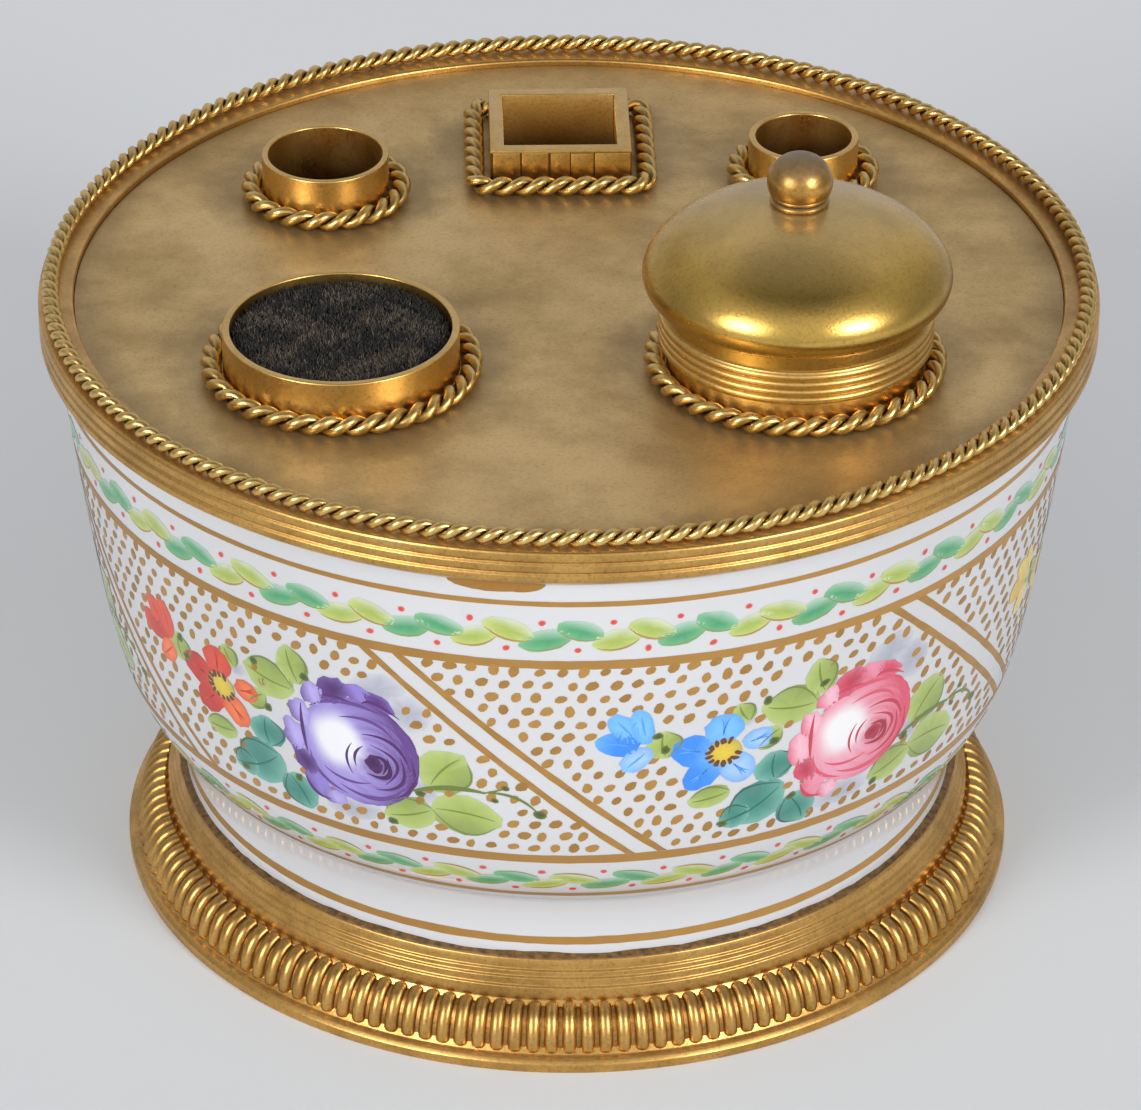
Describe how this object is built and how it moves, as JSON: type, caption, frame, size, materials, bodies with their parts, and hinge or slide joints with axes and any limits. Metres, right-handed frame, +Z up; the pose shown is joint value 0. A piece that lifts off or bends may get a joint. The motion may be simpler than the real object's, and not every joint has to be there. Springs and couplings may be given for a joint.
{
  "type": "desk inkstand",
  "caption": "Round porcelain and gilt-bronze desk inkstand with a lidded inkwell, a bristle pen wiper, pen tubes and a square wax box in its top plate.",
  "frame": {"origin": "middle of the foot's flat underside, on the surface that the stand rests on", "axes": "+Z up; +X to the right and -Y to the front, where the pen wiper and the inkwell are"},
  "size_m": [0.15, 0.15, 0.1227],
  "materials": {
    "gilt_bronze": "cast and turned gilt bronze, satin, darkened in the hollows",
    "bright_gilt": "gilt bronze trim, polished on its high spots",
    "gilt_plate": "matt gilt sheet, dull and speckled with age",
    "dark_gilt": "worn gilt, brown with age",
    "porcelain": "white hard-paste porcelain, glazed, painted in enamels and gold",
    "pot_glaze": "plain white glazed liner",
    "plaster": "old setting plaster, dark with grime",
    "steel": "plain turned steel",
    "wood": "turned beech, stained",
    "bristle": "black hog bristle, cut level"
  },
  "bodies": {
    "stand": {"foot_ring": "gilt_bronze", "gadroon_border": "bright_gilt", "base_plate": "gilt_bronze", "tie_rod": "steel", "rod_washer": "steel", "rod_nut": "steel", "rod_boss": "gilt_bronze", "plaster_bed": "plaster", "porcelain_bowl": "porcelain", "rim_mount": "gilt_bronze", "rim_rope": "bright_gilt", "top_plate": "gilt_plate", "left_pen_tube": "gilt_bronze", "left_pen_floor": "dark_gilt", "left_pen_rope": "bright_gilt", "right_pen_tube": "gilt_bronze", "right_pen_floor": "dark_gilt", "right_pen_rope": "bright_gilt", "wax_box": "gilt_bronze", "wax_box_floor": "dark_gilt", "wax_box_rope": "bright_gilt", "wiper_cup": "gilt_bronze", "wiper_floor": "dark_gilt", "wiper_rope": "bright_gilt", "inkwell_collar": "gilt_bronze", "inkwell_rope": "bright_gilt"},
    "ink_pot": {"ink_pot": "pot_glaze"},
    "lid": {"lid_dome": "gilt_plate", "lid_ring": "gilt_bronze", "lid_sleeve": "dark_gilt", "lid_knob": "dark_gilt", "lid_nut": "dark_gilt"},
    "wiper_brush": {"wiper_block": "wood", "wiper_bristles": "bristle"}
  },
  "joints": [
    {"name": "ink_pot_lift", "type": "slide", "parent": "stand", "child": "ink_pot", "axis": [0, 0, 1], "range_m": [0, 0.06]},
    {"name": "lid_lift", "type": "slide", "parent": "ink_pot", "child": "lid", "axis": [0, 0, 1], "range_m": [0, 0.03]},
    {"name": "brush_lift", "type": "slide", "parent": "stand", "child": "wiper_brush", "axis": [0, 0, 1], "range_m": [0, 0.02]}
  ]
}
